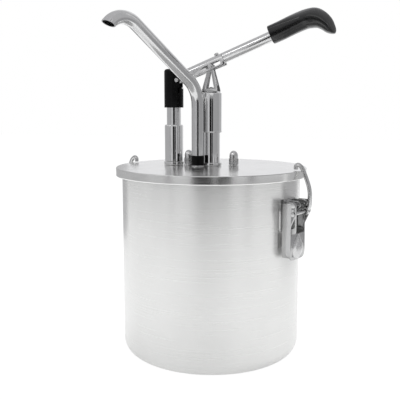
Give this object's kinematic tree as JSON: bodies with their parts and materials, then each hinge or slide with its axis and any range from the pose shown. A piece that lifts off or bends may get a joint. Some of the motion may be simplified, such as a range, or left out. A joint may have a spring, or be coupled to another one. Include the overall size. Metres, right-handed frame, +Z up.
{
  "type": "sauce portion dispenser",
  "caption": "Round steel sauce pot with a clamped lid, a lever-worked portion pump and a swivelling swan-neck spout.",
  "frame": {"origin": "middle of the pot's flat base", "axes": "+Z up; +X from the post towards the lever's grip; the spout leaves towards -Y"},
  "size_m": [0.2218, 0.2057, 0.335],
  "materials": {
    "brushed_pot_steel": "brushed",
    "polished_steel": "polished",
    "plain_steel": "satin",
    "black_plastic": "satin gloss",
    "pale_nylon": "matte",
    "seal_rubber": "matte"
  },
  "bodies": {
    "root": {"pot": "brushed_pot_steel", "lid_gasket": "seal_rubber", "lid": "brushed_pot_steel", "head_plate": "brushed_pot_steel", "post_washer": "polished_steel", "post_tube": "polished_steel", "post_inner_tube": "polished_steel", "post_cap": "black_plastic", "post_screw": "plain_steel", "pivot_pin": "plain_steel", "guide_tube": "polished_steel", "guide_washer": "polished_steel", "guide_nut": "plain_steel", "barrel": "brushed_pot_steel", "barrel_cap": "pale_nylon", "rod_bush": "pale_nylon", "inlet_valve_body": "pale_nylon", "inlet_ball": "plain_steel", "ball_cage": "plain_steel", "discharge_pipe": "brushed_pot_steel", "riser_collar": "black_plastic", "riser_washer": "polished_steel", "head_bolt_left": "plain_steel", "head_bolt_right": "plain_steel", "cap_nut_washer_left": "polished_steel", "cap_nut_washer_right": "polished_steel", "cap_nut_left": "polished_steel", "cap_nut_right": "polished_steel", "return_spring": "plain_steel", "latch_1_base": "brushed_pot_steel", "latch_1_rivet_upper": "polished_steel", "latch_1_rivet_lower": "polished_steel", "latch_2_base": "brushed_pot_steel", "latch_2_rivet_upper": "polished_steel", "latch_2_rivet_lower": "polished_steel"},
    "lever": {"lever_channel": "polished_steel", "lever_tube": "polished_steel", "lever_screw": "plain_steel", "grip": "black_plastic"},
    "plunger": {"plunger_sleeve": "polished_steel", "sleeve_cap": "plain_steel", "yoke": "polished_steel", "yoke_pin": "plain_steel", "yoke_nut": "plain_steel", "piston_rod": "plain_steel", "piston": "pale_nylon", "piston_seal": "seal_rubber", "piston_nut": "plain_steel"},
    "spout": {"spout": "polished_steel"},
    "latch_1_lever_body": {"latch_1_lever": "polished_steel", "latch_1_fulcrum_near": "plain_steel", "latch_1_fulcrum_far": "plain_steel", "latch_1_hook_pin": "plain_steel"},
    "latch_1_hook_body": {"latch_1_hook": "polished_steel"},
    "latch_2_lever_body": {"latch_2_lever": "polished_steel", "latch_2_fulcrum_near": "plain_steel", "latch_2_fulcrum_far": "plain_steel", "latch_2_hook_pin": "plain_steel"},
    "latch_2_hook_body": {"latch_2_hook": "polished_steel"}
  },
  "joints": [
    {"name": "lever_hinge", "type": "hinge", "parent": "root", "child": "lever", "pos_m": [-0.0335, 0, 0.27], "axis": [0, 1, 0], "range_deg": [0, 36], "stiffness_Nm_per_rad": 1.2, "springref_deg": -34.38},
    {"name": "plunger_slide", "type": "slide", "parent": "root", "child": "plunger", "axis": [0, 0, -1], "range_m": [0, 0.022], "deforming": ["return_spring"]},
    {"name": "spout_swivel", "type": "hinge", "parent": "root", "child": "spout", "pos_m": [-0.0096, -0.0146, 0.187], "axis": [0, 0, 1], "range_deg": [-50, 90]},
    {"name": "latch_1_lever_turn", "type": "hinge", "parent": "root", "child": "latch_1_lever_body", "pos_m": [0.09397, -0.0342, 0.1565], "axis": [-0.342, -0.9397, 0], "range_deg": [0, 100]},
    {"name": "latch_1_hook_turn", "type": "hinge", "parent": "latch_1_lever_body", "child": "latch_1_hook_body", "pos_m": [0.09397, -0.0342, 0.1485], "axis": [-0.342, -0.9397, 0], "range_deg": [-100, 0]},
    {"name": "latch_2_lever_turn", "type": "hinge", "parent": "root", "child": "latch_2_lever_body", "pos_m": [-0.09397, 0.0342, 0.1565], "axis": [0.342, 0.9397, 0], "range_deg": [0, 100]},
    {"name": "latch_2_hook_turn", "type": "hinge", "parent": "latch_2_lever_body", "child": "latch_2_hook_body", "pos_m": [-0.09397, 0.0342, 0.1485], "axis": [0.342, 0.9397, 0], "range_deg": [-100, 0]}
  ],
  "couplings": [
    {"joint": "plunger_slide", "follows": "lever_hinge", "m_per_rad": 0.0348},
    {"joint": "latch_1_hook_turn", "follows": "latch_1_lever_turn", "ratio": -1},
    {"joint": "latch_2_hook_turn", "follows": "latch_2_lever_turn", "ratio": -1}
  ]
}
